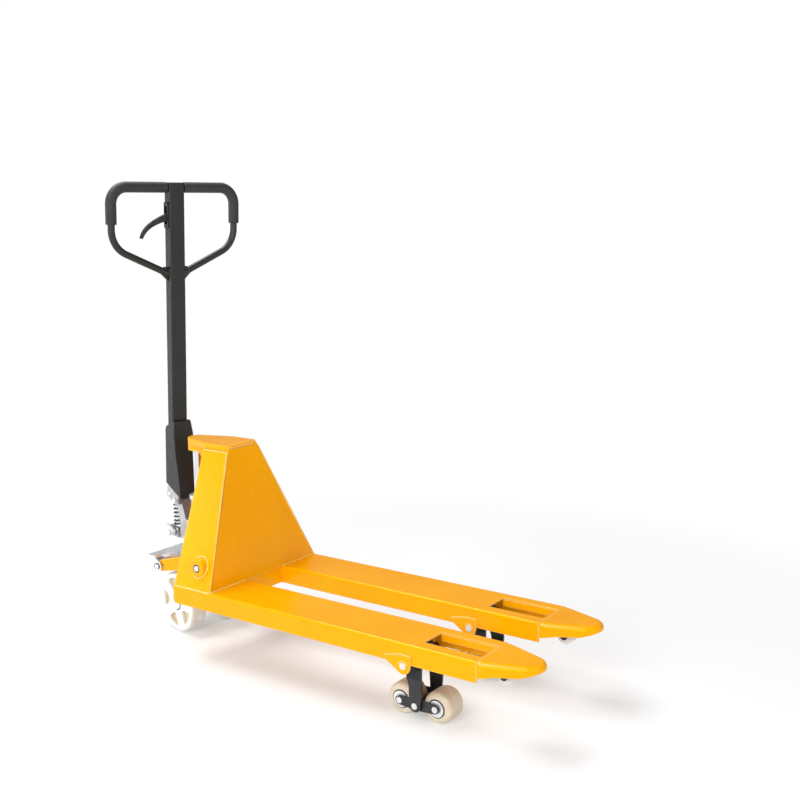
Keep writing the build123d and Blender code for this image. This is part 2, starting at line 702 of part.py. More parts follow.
for place, side in (("near", -1), ("far", 1)):
    with BuildPart() as steering_wheel:
        centre = side * wheel_offset
        half = wheel_width / 2
        bar(pump, 0, wheel_radius, wheel_radius, centre - half, centre + half)
        rims = steering_wheel.edges().filter_by(GeomType.CIRCLE).sort_by(SortBy.RADIUS)[-2:]
        fillet(rims, 8)
        for face in (-1, 1):
            recess = centre + face * (half - 9)
            with BuildSketch(side_view(pump, recess)) as pockets:
                with Locations((0, wheel_radius)):
                    Circle(pocket_outer)
                    Circle(pocket_inner, mode=Mode.SUBTRACT)
                    with PolarLocations((pocket_inner + pocket_outer) / 2, spokes):
                        Rectangle(pocket_outer, spoke_width, mode=Mode.SUBTRACT)
                fillet(pockets.vertices(), 5)
            extrude(pockets.sketch, amount=-face * 12, mode=Mode.SUBTRACT)
        for face in (-1, 1):
            mouth = centre + face * (half + 1)
            floor_of_hub = centre + face * (half - 6)
            low = min(mouth, floor_of_hub)
            bar(pump, 0, wheel_radius, 24, low, low + 7, Mode.SUBTRACT)
        bar(pump, 0, wheel_radius, axle_radius + running_fit, -200, 200, Mode.SUBTRACT)
    save(steering_wheel.part, f"steering_wheel_{place}")

# ---- handle -------------------------------------------------------------
tube_rear = handle_tube_x - handle_tube_depth / 2
tube_front = handle_tube_x + handle_tube_depth / 2
tube_half = handle_tube_width / 2
tube_low = 120
tube_top = 906
lever_pivot_y = -12
lever_pivot_z = 848

with BuildPart() as handle_tube:
    with BuildSketch(top_view(handle, tube_low)) as wall:
        with Locations((handle_tube_x, 0)):
            RectangleRounded(handle_tube_depth, handle_tube_width, 4)
            RectangleRounded(handle_tube_depth - 5, handle_tube_width - 5, 2, mode=Mode.SUBTRACT)
    extrude(amount=tube_top - tube_low)
    # Slot for the control lever.
    slot_back = handle_tube_x - 7
    slot_front = handle_tube_x + 7
    block(handle, slot_back, slot_front, -tube_half - 1, -tube_half + 4, 825, 877, Mode.SUBTRACT)
    # Head block, welded on the tube, that carries the loop.
    with BuildSketch(top_view(handle, tube_top)) as head:
        with Locations((handle_tube_x, 0)):
            RectangleRounded(handle_tube_depth, handle_tube_width, 4)
    extrude(head.sketch, amount=loop_z + 14 - tube_top)
    fillet(handle_tube.faces().sort_by(Axis.Z)[-1].edges(), 3)
    bar(handle, handle_tube_x, loop_z, loop_radius + 0.1, -60, 60, Mode.SUBTRACT)
save(handle_tube.part, "handle_tube")

loop_plane = front_view(handle, handle_tube_x)
loop_corner = 48
loop_low_corner = 75
loop_low_z = loop_z - 169.5
loop_foot_z = loop_z - 249
loop_points = (
    (-tube_half, loop_foot_z),
    (-loop_half, loop_low_z),
    (-loop_half, loop_z),
    (loop_half, loop_z),
    (loop_half, loop_low_z),
    (tube_half, loop_foot_z),
)
with BuildPart() as handle_loop:
    with BuildLine(loop_plane) as loop_path:
        FilletPolyline(*loop_points, radius=(loop_low_corner, loop_corner, loop_corner, loop_low_corner))
    with BuildSketch(Plane(origin=loop_path.line @ 0, z_dir=loop_path.line % 0)):
        Circle(loop_radius)
    sweep()
    # The feet are cut flush with the sides of the tube.
    block(handle, tube_rear - 9, tube_front + 9, -tube_half, tube_half, 600, 800, Mode.SUBTRACT)
    # Small webs stiffen the feet.
    for side in (-1, 1):
        with BuildSketch(front_view(handle, handle_tube_x - 3)) as web:
            with BuildLine():
                Polyline(
                    (side * tube_half, loop_foot_z - 22),
                    (side * (tube_half + 28), loop_foot_z + 4),
                    (side * (tube_half + 14), loop_foot_z + 20),
                    (side * tube_half, loop_foot_z + 21),
                    close=True,
                )
            make_face()
        extrude(web.sketch, amount=6)
save(handle_loop.part, "handle_loop")

for place, side in (("near", -1), ("far", 1)):
    with BuildPart() as grip:
        with BuildLine(loop_plane) as grip_path:
            FilletPolyline(
                (side * (tube_half + 3), loop_z),
                (side * loop_half, loop_z),
                (side * loop_half, loop_z - grip_drop),
                radius=loop_corner,
            )
        with BuildSketch(Plane(origin=grip_path.line @ 0, z_dir=grip_path.line % 0)):
            Circle(grip_radius)
            Circle(loop_radius + 0.1, mode=Mode.SUBTRACT)
        sweep()
        rims = grip.edges().filter_by(GeomType.CIRCLE).filter_by(lambda edge: edge.radius > grip_radius - 0.5)
        end_rims = rims.filter_by(lambda edge: abs(edge.length - 2 * pi * grip_radius) < 0.5)
        fillet(end_rims, 3)
    save(grip.part, f"grip_{place}")

box_half = 33
box_sheet = 3
box_shape = ((-52, 47), (-52, 206), (-50, 222), (-14, 242), (-6, 240), (8, 141), (29, 41), (32, 12))
box_inner = ((-49, 20), (-49, 200), (-8, 200), (5, 141), (26, 41), (29, -10))
with BuildPart() as handle_base:
    plate(handle, box_shape, -box_half, box_half)
    fillet(handle_base.edges().filter_by(Axis(handle.origin, handle.z_dir)), 3)
    plate(handle, box_inner, -box_half + box_sheet, box_half - box_sheet, Mode.SUBTRACT)
    # The collar is bevelled in to the tube that it holds.
    for side in (-1, 1):
        with BuildSketch(front_view(handle, -80)) as bevel:
            with BuildLine():
                Polyline(
                    (side * box_half, 203),
                    (side * (box_half + 9), 203),
                    (side * (box_half + 9), 250),
                    (side * (tube_half + 2), 250),
                    close=True,
                )
            make_face()
        extrude(bevel.sketch, amount=120, mode=Mode.SUBTRACT)
    block(handle, tube_rear, tube_front, -tube_half, tube_half, 190, 260, Mode.SUBTRACT)
    bar(handle, 0, 0, 8.1, -50, 50, Mode.SUBTRACT)
save(handle_base.part, "handle_base")

roller_x = -38
roller_z = 12
with BuildPart() as base_casting:
    for side in (-1, 1):
        low = min(side * 22, side * 30)
        link(handle, ((0, 0, 15), (roller_x, roller_z, 12), (-32, 60, 12), (6, 60, 10)), low, low + 8)
    block(handle, -44, 10, -30, 30, 58, 70)
    bar(handle, 0, 0, 8 + running_fit, -40, 40, Mode.SUBTRACT)
    bar(handle, roller_x, roller_z, 5, -40, 40, Mode.SUBTRACT)
save(base_casting.part, "base_casting")

with BuildPart() as pressure_roller:
    bar(handle, roller_x, roller_z, 13, -20, 20)
    chamfer(pressure_roller.edges().filter_by(GeomType.CIRCLE), 1.5)
    bar(handle, roller_x, roller_z, 5 + running_fit, -25, 25, Mode.SUBTRACT)
save(pressure_roller.part, "pressure_roller")

with BuildPart() as lever_bracket:
    with BuildSketch(side_view(handle, -tube_half)) as guard:
        with Locations((handle_tube_x, 853)):
            RectangleRounded(20, 76, 6)
            RectangleRounded(14, 52, 3, mode=Mode.SUBTRACT)
    extrude(guard.sketch, amount=5)
save(lever_bracket.part, "lever_bracket")

with BuildPart() as handle_pins:
    bar(handle, roller_x, roller_z, 5, -31, 31)
    with BuildSketch(front_view(handle, tube_rear + 2.5)) as pin_face:
        with Locations((lever_pivot_y, lever_pivot_z)):
            Circle(3)
    extrude(pin_face.sketch, amount=handle_tube_depth - 5)
save(handle_pins.part, "handle_pins")

with BuildPart() as control_lever:
    with BuildSketch(front_view(handle, handle_tube_x - 6)) as blade:
        with BuildLine():
            upper = Spline((-26, 859), (-62, 842), (-94, 820), (-113, 788))
            Line(upper @ 1, (-108, 786))
            lower = Spline((-108, 786), (-90, 810), (-60, 827), (-26, 837))
            Line(lower @ 1, (-12, 837))
            Line((-12, 837), (-5.5, 848))
            Line((-5.5, 848), (-12, 859))
            Line((-12, 859), upper @ 0)
        make_face()
        with Locations((lever_pivot_y, lever_pivot_z)):
            Circle(3 + running_fit, mode=Mode.SUBTRACT)
    extrude(blade.sketch, amount=12)
save(control_lever.part, "control_lever")

with BuildPart() as pull_rod:
    post(handle, handle_tube_x, 0, 3, 84, 841)
    post(handle, handle_tube_x, 0, 6, 84, 100)
save(pull_rod.part, "pull_rod")
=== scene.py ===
import json
import math

import bmesh
import bpy
from mathutils import Matrix, Vector, noise


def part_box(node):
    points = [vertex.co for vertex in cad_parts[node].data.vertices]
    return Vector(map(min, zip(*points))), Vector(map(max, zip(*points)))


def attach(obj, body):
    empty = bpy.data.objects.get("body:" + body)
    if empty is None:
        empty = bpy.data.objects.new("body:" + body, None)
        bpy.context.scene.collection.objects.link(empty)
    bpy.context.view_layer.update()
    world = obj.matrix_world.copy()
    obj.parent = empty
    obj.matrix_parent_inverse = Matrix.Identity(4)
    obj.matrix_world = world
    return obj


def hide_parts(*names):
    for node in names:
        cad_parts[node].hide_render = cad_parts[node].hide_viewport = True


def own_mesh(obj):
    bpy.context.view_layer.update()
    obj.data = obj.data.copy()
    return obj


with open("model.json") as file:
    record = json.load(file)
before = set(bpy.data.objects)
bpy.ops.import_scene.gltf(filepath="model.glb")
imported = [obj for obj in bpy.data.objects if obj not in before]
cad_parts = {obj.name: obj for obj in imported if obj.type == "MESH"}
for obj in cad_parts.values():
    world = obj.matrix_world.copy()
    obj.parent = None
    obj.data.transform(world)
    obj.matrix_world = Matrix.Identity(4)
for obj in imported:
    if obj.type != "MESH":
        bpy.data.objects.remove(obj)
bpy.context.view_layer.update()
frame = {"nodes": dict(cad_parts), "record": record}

# A hand pallet truck. Metres, +Z up, floor at Z = 0, +X along the forks to their tips, -Y the near side.
# The truck's own places below are in millimetres from the steering axis and the floor.
STEER_ANGLE = math.radians(13)
LEAN_ANGLE = math.radians(3.4)
AHEAD = Vector((math.cos(STEER_ANGLE), -math.sin(STEER_ANGLE), 0))
AXLE = Vector((math.sin(STEER_ANGLE), math.cos(STEER_ANGLE), 0))
UP = Vector((0, 0, 1))
PAIR = (("near", -1), ("far", 1))
FORK_TOP = 205
FORK_CENTRE = 150


def middle_of(node):
    low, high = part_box(node)
    return (low + high) / 2


STEER = Vector((middle_of("piston_rod").x, 0, 0))
PIVOT = middle_of("handle_pivot_pin")


def truck(x, y, z):
    return STEER + Vector((x, y, z)) / 1000


def handle(x, y, z):
    front = AHEAD * math.cos(LEAN_ANGLE) - UP * math.sin(LEAN_ANGLE)
    along = AHEAD * math.sin(LEAN_ANGLE) + UP * math.cos(LEAN_ANGLE)
    return PIVOT + (front * x + AXLE * y + along * z) / 1000


# ---- materials -----------------------------------------------------------
class Finish:
    """A new material: one Principled shader, and short calls that add texture nodes to it."""

    def __init__(self, name, color, roughness, metallic=0.0):
        self.material = bpy.data.materials.new(name)
        self.material.use_nodes = True
        self.tree = self.material.node_tree
        self.surface = self.tree.nodes["Principled BSDF"]
        self.set("Base Color", (*color, 1))
        self.set("Roughness", roughness)
        self.set("Metallic", metallic)
        self.place = self.node("ShaderNodeTexCoord").outputs["Object"]
        self.relief = None

    def set(self, socket, value):
        self.surface.inputs[socket].default_value = value

    def node(self, kind, **settings):
        made = self.tree.nodes.new(kind)
        for key, value in settings.items():
            setattr(made, key, value)
        return made

    def feed(self, target, source):
        """Links an output to an input, or sets a plain value there."""
        if isinstance(source, bpy.types.NodeSocket):
            self.tree.links.new(source, target)
        else:
            target.default_value = source

    def math(self, operation, a, b=0.0, clamp=False):
        made = self.node("ShaderNodeMath", operation=operation, use_clamp=clamp)
        self.feed(made.inputs[0], a)
        self.feed(made.inputs[1], b)
        return made.outputs[0]

    def stretched(self, scale):
        """The place on the object, with each axis scaled."""
        made = self.node("ShaderNodeMapping")
        self.feed(made.inputs["Vector"], self.place)
        made.inputs["Scale"].default_value = scale
        return made.outputs["Vector"]

    def noise(self, scale, detail=3.0, rough=0.5, at=None):
        made = self.node("ShaderNodeTexNoise")
        self.feed(made.inputs["Vector"], at or self.place)
        made.inputs["Scale"].default_value = scale
        made.inputs["Detail"].default_value = detail
        made.inputs["Roughness"].default_value = rough
        return made.outputs["Fac"]

    def along(self, origin, direction):
        """How far the place lies from a point along a direction, in metres."""
        offset = self.node("ShaderNodeVectorMath", operation="SUBTRACT")
        self.feed(offset.inputs[0], self.place)
        offset.inputs[1].default_value = origin
        dot = self.node("ShaderNodeVectorMath", operation="DOT_PRODUCT")
        self.feed(dot.inputs[0], offset.outputs["Vector"])
        dot.inputs[1].default_value = direction
        return dot.outputs["Value"]

    def soft_edges(self, radius):
        """Rounds the shading over sharp edges, as thick paint does.

        Returns a mask that is 1 on the edges.
        """
        made = self.node("ShaderNodeBevel", samples=4)
        made.inputs["Radius"].default_value = radius
        self.relief = made.outputs["Normal"]
        self.feed(self.surface.inputs["Normal"], self.relief)
        flat = self.node("ShaderNodeNewGeometry")
        match = self.node("ShaderNodeVectorMath", operation="DOT_PRODUCT")
        self.feed(match.inputs[0], self.relief)
        self.feed(match.inputs[1], flat.outputs["Normal"])
        return self.spread(match.outputs["Value"], 0.985, 0.8)

    def spread(self, value, low, high, to_low=0.0, to_high=1.0):
        """The value moved from one range to another, and kept inside it."""
        made = self.node("ShaderNodeMapRange")
        self.feed(made.inputs["Value"], value)
        made.inputs["From Min"].default_value = low
        made.inputs["From Max"].default_value = high
        made.inputs["To Min"].default_value = to_low
        made.inputs["To Max"].default_value = to_high
        return made.outputs["Result"]

    def blend(self, share, first, second):
        made = self.node("ShaderNodeMix", data_type="RGBA")
        self.feed(made.inputs["Factor"], share)
        for socket, color in ((made.inputs["A"], first), (made.inputs["B"], second)):
            self.feed(socket, color if isinstance(color, bpy.types.NodeSocket) else (*color, 1))
        return made.outputs["Result"]

    def color(self, source):
        self.feed(self.surface.inputs["Base Color"], source)

    def roughness(self, source):
        self.feed(self.surface.inputs["Roughness"], source)

    def bump(self, height, distance, strength=1.0):
        """Adds relief, in metres, on top of any that is there."""
        made = self.node("ShaderNodeBump")
        made.inputs["Strength"].default_value = strength
        made.inputs["Distance"].default_value = distance
        self.feed(made.inputs["Height"], height)
        if self.relief:
            self.feed(made.inputs["Normal"], self.relief)
        self.relief = made.outputs["Normal"]
        self.feed(self.surface.inputs["Normal"], self.relief)


def yellow_enamel(name, fresh, deep, coat):
    """Sprayed enamel: orange-peel waves, fine grain, cloudy colour, pale edges painted on as highlights, and
    a few dull rubs.
    """
    paint = Finish(name, fresh, 0.25)
    paint.set("Specular IOR Level", 0.32)
    paint.set("Specular Tint", (1.0, 0.72, 0.05, 1))
    paint.set("Coat Weight", coat)
    paint.set("Coat Roughness", 0.06)
    painted_edge_highlight = paint.soft_edges(0.003)
    cloud = paint.spread(paint.noise(6, detail=4), 0.3, 0.7)
    speck = paint.spread(paint.noise(420, detail=2), 0.72, 0.8)
    rub = paint.spread(paint.noise(9, detail=6, rough=0.7), 0.66, 0.74)
    body = paint.blend(paint.math("MULTIPLY", speck, 0.25), paint.blend(cloud, fresh, deep), (0.55, 0.2, 0.0))
    # Painted highlight: the edges are blended towards pale yellow.
    paint.color(paint.blend(paint.math("MULTIPLY", painted_edge_highlight, 0.85), body, (1.0, 0.86, 0.4)))
    gloss = paint.spread(paint.noise(35), 0.3, 0.7, 0.2, 0.3)
    paint.roughness(paint.math("ADD", gloss, paint.math("MULTIPLY", rub, 0.12)))
    paint.bump(paint.noise(260, detail=2), 0.00008, 0.4)
    paint.bump(paint.noise(28, detail=1), 0.0002, 0.2)
    paint.feed(paint.surface.inputs["Coat Normal"], paint.relief)
    return paint.material


def charcoal_powder():
    """Powder coat: a fine even grain over satin charcoal."""
    coat = Finish("charcoal_powder", (0.018, 0.017, 0.016), 0.4)
    coat.set("Specular IOR Level", 0.4)
    cloud = coat.spread(coat.noise(14), 0.3, 0.7)
    coat.color(coat.blend(cloud, (0.0165, 0.0155, 0.0145), (0.012, 0.0115, 0.0105)))
    coat.roughness(coat.spread(coat.noise(60), 0.3, 0.7, 0.36, 0.5))
    coat.bump(coat.noise(1400, detail=2), 0.0001, 0.5)
    coat.bump(coat.noise(320, detail=2), 0.00012, 0.4)
    return coat.material


def black_gloss():
    """Dipped black paint, thicker in places, with a few dull rubs."""
    paint = Finish("black_gloss", (0.012, 0.012, 0.014), 0.22)
    cloud = paint.spread(paint.noise(30), 0.35, 0.7)
    paint.color(paint.blend(cloud, (0.011, 0.011, 0.013), (0.02, 0.021, 0.024)))
    paint.roughness(paint.spread(paint.noise(45, detail=5), 0.35, 0.75, 0.16, 0.42))
    paint.bump(paint.noise(180, detail=2), 0.0003, 0.4)
    return paint.material


def zinc_plate():
    """Bright zinc plating: a cold tint, small spangles and faint stains."""
    zinc = Finish("zinc_plate", (0.8, 0.81, 0.83), 0.34, metallic=0.85)
    stain = zinc.spread(zinc.noise(55, detail=5), 0.35, 0.7)
    zinc.color(zinc.blend(stain, (0.88, 0.89, 0.91), (0.7, 0.7, 0.7)))
    spangle = zinc.noise(500, detail=4)
    zinc.roughness(zinc.spread(spangle, 0.25, 0.75, 0.26, 0.48))
    zinc.bump(spangle, 0.00008, 0.5)
    return zinc.material


def cast_zinc():
    """A plated casting: the skin of the mould shows as a coarse grain."""
    metal = Finish("cast_zinc", (0.5, 0.5, 0.5), 0.4, metallic=1.0)
    pits = metal.noise(650, detail=6, rough=0.65)
    cloud = metal.spread(metal.noise(40, detail=4), 0.3, 0.7)
    metal.color(metal.blend(cloud, (0.56, 0.56, 0.57), (0.38, 0.375, 0.36)))
    metal.roughness(metal.spread(pits, 0.3, 0.7, 0.3, 0.52))
    metal.bump(pits, 0.0004, 0.5)
    return metal.material


def hard_chrome():
    """A ground and chromed ram, with fine rings from the grinding."""
    chrome = Finish("hard_chrome", (0.86, 0.86, 0.87), 0.08, metallic=1.0)
    rings = chrome.noise(900, detail=2, at=chrome.stretched((0.02, 0.02, 1)))
    haze = chrome.spread(chrome.noise(20), 0.4, 0.7)
    chrome.color(chrome.blend(haze, (0.88, 0.88, 0.89), (0.76, 0.76, 0.78)))
    chrome.roughness(chrome.spread(rings, 0.3, 0.7, 0.05, 0.16))
    chrome.bump(rings, 0.00002, 0.4)
    return chrome.material


def spring_steel():
    """Blackened spring wire with a trace of oil."""
    wire = Finish("spring_steel", (0.06, 0.06, 0.065), 0.35, metallic=0.9)
    oil = wire.spread(wire.noise(160, detail=4), 0.4, 0.7)
    wire.color(wire.blend(oil, (0.05, 0.05, 0.055), (0.14, 0.13, 0.12)))
    wire.roughness(wire.spread(wire.noise(220), 0.3, 0.7, 0.25, 0.5))
    wire.bump(wire.noise(900, detail=3), 0.00006, 0.5)
    return wire.material


def grip_rubber():
    """Dipped foam rubber: soft, bluish black, finely pored."""
    rubber = Finish("grip_rubber", (0.02, 0.022, 0.024), 0.58)
    rubber.set("Sheen Weight", 0.05)
    rubber.set("Specular IOR Level", 0.4)
    pores = rubber.noise(1100, detail=4, rough=0.6)
    cloud = rubber.spread(rubber.noise(25, detail=4), 0.3, 0.7)
    rubber.color(rubber.blend(cloud, (0.015, 0.0165, 0.018), (0.023, 0.025, 0.027)))
    rubber.roughness(rubber.spread(pores, 0.3, 0.7, 0.5, 0.72))
    rubber.bump(pores, 0.0002, 0.6)
    return rubber.material


def seal_rubber():
    """The black lip seals of the bearings."""
    rubber = Finish("seal_rubber", (0.012, 0.012, 0.013), 0.45)
    grain = rubber.noise(700, detail=3)
    rubber.color(rubber.blend(rubber.spread(grain, 0.3, 0.7), (0.01, 0.01, 0.011), (0.022, 0.022, 0.024)))
    rubber.roughness(rubber.spread(grain, 0.3, 0.7, 0.35, 0.55))
    rubber.bump(grain, 0.0001, 0.4)
    return rubber.material


def nylon(name, pale, warm):
    """Cast nylon: milky, with cloudy warm patches, faint moulding marks and light scuffs."""
    plastic = Finish(name, pale, 0.36)
    plastic.set("Subsurface Weight", 0.1)
    plastic.set("Subsurface Radius", (0.006, 0.004, 0.003))
    cloudy = plastic.blend(plastic.spread(plastic.noise(22, detail=5, rough=0.6), 0.35, 0.7), pale, warm)
    plastic.color(cloudy)
    scuff = plastic.noise(240, detail=5, rough=0.65)
    plastic.roughness(plastic.spread(scuff, 0.35, 0.7, 0.28, 0.5))
    plastic.bump(scuff, 0.00015, 0.5)
    return plastic, cloudy


def wheel_nylon(name, centre):
    """White cast nylon, with painted shade that darkens the floors of the pockets between the spokes to
    cream, and darker brown patches round the tread.
    """
    plastic, cloudy = nylon(name, (0.82, 0.83, 0.8), (0.76, 0.75, 0.68))
    side = plastic.along(centre, AXLE)
    depth = plastic.math("ABSOLUTE", side)
    ahead = plastic.along(centre, AHEAD)
    height = plastic.along(centre, UP)
    ahead_squared = plastic.math("MULTIPLY", ahead, ahead)
    height_squared = plastic.math("MULTIPLY", height, height)
    radius = plastic.math("SQRT", plastic.math("ADD", ahead_squared, height_squared))
    sunk = plastic.spread(depth, 0.0165, 0.019, 1, 0)
    within_rim = plastic.spread(radius, 0.076, 0.079, 1, 0)
    inside = plastic.math("MULTIPLY", sunk, within_rim)
    # Darker brown patches round the tread.
    on_tread = plastic.spread(radius, 0.083, 0.089)
    patches = plastic.spread(plastic.noise(60, detail=5), 0.3, 0.65, 0.2, 1)
    tread_darkening = plastic.math("MULTIPLY", on_tread, patches)
    # Painted shade: the floors of the pockets are blended to a darker cream.
    pocket_shaded = plastic.blend(inside, cloudy, (0.6, 0.5, 0.34))
    plastic.color(plastic.blend(plastic.math("MULTIPLY", tread_darkening, 0.5), pocket_shaded, (0.36, 0.3, 0.22)))
    return plastic.material


def floor_paint():
    """A pale matt studio floor that fades into the white surround."""
    paint = Finish("studio_floor", (0.9, 0.9, 0.9), 0.8)
    paint.set("Specular IOR Level", 0.1)
    paint.color(paint.blend(paint.spread(paint.noise(1.5), 0.3, 0.7), (0.91, 0.91, 0.91), (0.89, 0.89, 0.89)))
    paint.bump(paint.noise(90, detail=3), 0.0003, 0.3)
    glow = paint.node("ShaderNodeEmission")
    far = paint.node("ShaderNodeVectorMath", operation="LENGTH")
    paint.feed(far.inputs[0], paint.place)
    mixed = paint.node("ShaderNodeMixShader")
    paint.feed(mixed.inputs["Fac"], paint.spread(far.outputs["Value"], 0.8, 1.9, 0.3))
    paint.feed(mixed.inputs[1], paint.surface.outputs["BSDF"])
    paint.feed(mixed.inputs[2], glow.outputs["Emission"])
    paint.feed(paint.tree.nodes["Material Output"].inputs["Surface"], mixed.outputs["Shader"])
    return paint.material


ROLLER_IVORY = nylon("roller_nylon", (0.66, 0.59, 0.45), (0.54, 0.44, 0.32))[0].material
ENTRY_IVORY = nylon("entry_nylon", (0.7, 0.69, 0.66), (0.62, 0.59, 0.53))[0].material
ENAMEL = yellow_enamel("yellow_enamel", (0.9, 0.385, 0.0), (0.85, 0.345, 0.0), 0.12)
# The beads get a paler, glossier copy of the yellow enamel. The paler colour is a painted highlight on the
# weld ripples.
BEAD_ENAMEL_PAINTED_HIGHLIGHT = yellow_enamel("bead_enamel_painted_highlight", (1.0, 0.58, 0.1), (0.92, 0.45, 0.03), 1.0)
SEAL = seal_rubber()
ZINC = zinc_plate()
FINISHES = {
    "yellow_paint": ENAMEL,
    "charcoal_paint": charcoal_powder(),
    "black_paint": black_gloss(),
    "zinc_plate": ZINC,
    "cast_zinc": cast_zinc(),
    "chrome": hard_chrome(),
    "white_nylon": ENTRY_IVORY,
    "rubber": grip_rubber(),
    "spring_steel": spring_steel(),
}


def dress(thing, material):
    """Gives every face of an object that material."""
    thing.data.materials.clear()
    thing.data.materials.append(material)


for subpart in frame["record"]["subparts"]:
    node = frame["nodes"][subpart["node"]]
    dress(node, FINISHES[subpart["material_slot"]])
for name, node in frame["nodes"].items():
    if name.startswith("load_roller"):
        dress(node, ROLLER_IVORY)
for place, _ in PAIR:
    wheel = f"steering_wheel_{place}"
    dress(frame["nodes"][wheel], wheel_nylon(f"wheel_nylon_{place}", middle_of(wheel)))


# ---- welds, seals and clips ------------------------------------------------
def add_piece(name, mesh, body, material):
    piece = bpy.data.objects.new(name, mesh)
    bpy.context.scene.collection.objects.link(piece)
    for face in mesh.polygons:
        face.use_smooth = True
    dress(piece, material)
    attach(piece, body)
    return piece


def tube(mesh, path, radii, closed=False, sides=10):
    """Adds a tube with its own radius at every point of its path."""
    rings = []
    count = len(path)
    normal = None
    for index, point in enumerate(path):
        after = path[(index + 1) % count] if closed or index + 1 < count else point
        before = path[index - 1] if closed or index else point
        heading = (after - before).normalized()
        if normal is None:
            normal = heading.orthogonal().normalized()
        normal = (normal - heading * normal.dot(heading)).normalized()
        across = heading.cross(normal)
        ring = []
        for step in range(sides):
            turn = 2 * math.pi * step / sides
            arm = normal * math.cos(turn) + across * math.sin(turn)
            ring.append(mesh.verts.new(point + arm * radii[index]))
        rings.append(ring)
    pairs = list(zip(rings, rings[1:]))
    if closed:
        shift = min(range(sides), key=lambda k: (rings[0][k].co - rings[-1][0].co).length)
        pairs.append((rings[-1], rings[0][shift:] + rings[0][:shift]))
    for first, second in pairs:
        for step in range(sides):
            following = (step + 1) % sides
            mesh.faces.new((first[step], first[following], second[following], second[step]))
    if not closed:
        mesh.faces.new(list(reversed(rings[0])))
        mesh.faces.new(rings[-1])


def even_steps(corners, pitch, closed=False):
    """Points at an even pitch along straight runs between the corners."""
    ends = list(zip(corners, corners[1:] + corners[:1] if closed else corners[1:]))
    points = []
    for start, end in ends:
        steps = max(1, round((end - start).length / pitch))
        points += [start.lerp(end, step / steps) for step in range(steps)]
    if not closed:
        points.append(corners[-1])
    return points


def weld(mesh, corners, radius, closed=False):
    """A hand-laid bead: overlapping ripples about every two radii, never quite alike."""
    pitch = 0.0007
    path = even_steps(corners, pitch, closed)
    radii = []
    for index, point in enumerate(path):
        wander = noise.noise(point * 90)
        ripple = abs(math.sin(math.pi * (index * pitch / (radius * 1.5) + 0.6 * wander)))
        radii.append(radius * (0.8 + 0.22 * ripple + 0.16 * noise.noise(point * 240)))
    if not closed:
        radii[0] = radii[-1] = radius * 0.35
    tube(mesh, path, radii, closed)


def piece_mesh(name, mesh):
    bmesh.ops.recalc_face_normals(mesh, faces=mesh.faces)
    data = bpy.data.meshes.new(name)
    mesh.to_mesh(data)
    mesh.free()
    return data


def circle(centre, first, second, radius, start=0.0, stop=360.0, count=48):
    """Points round a centre, from one direction towards another."""
    points = []
    for step in range(count + (stop - start < 360)):
        turn = math.radians(start + (stop - start) * step / count)
        points.append(centre + (first * math.cos(turn) + second * math.sin(turn)) * radius)
    return points


# The frame's welded plates, in millimetres from the steering axis and the floor.
PANEL_FOOT_X = 250
PANEL_TOP_X = 180
PANEL_HALF = 222
PANEL_TOP_HALF = 57
PANEL_TOP_Z = 579
SIDE_PANEL_TOP_Z = 562
SIDE_SLOPE = (PANEL_HALF - PANEL_TOP_HALF) / (PANEL_TOP_Z - FORK_TOP)
SIDE_PANEL_REAR_FOOT_X = 114
SIDE_PANEL_REAR_TOP_X = 92
BOSS_X = 192
BOSS_Z = 263
BOSS_WELD_RADIUS = 27.5


def side_face(z):
    """How far out the side panel's outer face lies at a height."""
    return PANEL_HALF - (z - FORK_TOP) * SIDE_SLOPE


def frame_welds():
    """Beads along the front and side panels, and round the rocker bosses."""
    for place, side in PAIR:
        beads = bmesh.new()
        fork = side * FORK_CENTRE
        foot = truck(PANEL_FOOT_X + 1.5, fork - side * 70, FORK_TOP + 0.5)
        corner = truck(PANEL_FOOT_X + 1.5, fork + side * 71, FORK_TOP + 0.5)
        weld(beads, [foot, corner], 0.0032)
        foot_z = FORK_TOP - 1
        front = truck(PANEL_FOOT_X - 2, side * PANEL_HALF, foot_z)
        rear = truck(SIDE_PANEL_REAR_FOOT_X, side * PANEL_HALF, foot_z)
        weld(beads, [front, rear], 0.003)
        crown = side * (side_face(SIDE_PANEL_TOP_Z) + 0.5)
        crown_z = SIDE_PANEL_TOP_Z - 1
        rear = truck(SIDE_PANEL_REAR_TOP_X, crown, crown_z)
        front = truck(PANEL_TOP_X - 2, crown, crown_z)
        weld(beads, [rear, front], 0.0022)
        ring = []
        for step in range(60):
            turn = 2 * math.pi * step / 60
            z = BOSS_Z + BOSS_WELD_RADIUS * math.sin(turn)
            x = BOSS_X + BOSS_WELD_RADIUS * math.cos(turn)
            ring.append(truck(x, side * (side_face(z) + 0.6), z))
        weld(beads, ring, 0.0028, closed=True)
        name = f"panel_welds_{place}"
        add_piece(name, piece_mesh(name, beads), "chassis", BEAD_ENAMEL_PAINTED_HIGHLIGHT)


def ear_welds():
    """Beads round the roller pivot pins, and along the feet of the ears that carry them."""
    ear_face = 77.8
    fork_wall = 75.4
    pin = middle_of("roller_pivot_pins")
    pin_x = (pin.x - STEER.x) * 1000
    pin_z = pin.z * 1000
    for place, side in PAIR:
        beads = bmesh.new()
        for flank in (-1, 1):
            face = side * FORK_CENTRE + flank * ear_face
            arch = circle(truck(pin_x, face, pin_z), Vector((1, 0, 0)), UP, 0.0125, 10, 170, 30)
            weld(beads, arch, 0.0016)
            wall = side * FORK_CENTRE + flank * fork_wall
            foot = ((pin_x - 56, 168), (pin_x - 8, 177.5), (pin_x + 20, 176.5))
            weld(beads, [truck(x, wall, z) for x, z in foot], 0.0018)
        name = f"ear_welds_{place}"
        add_piece(name, piece_mesh(name, beads), "chassis", BEAD_ENAMEL_PAINTED_HIGHLIGHT)


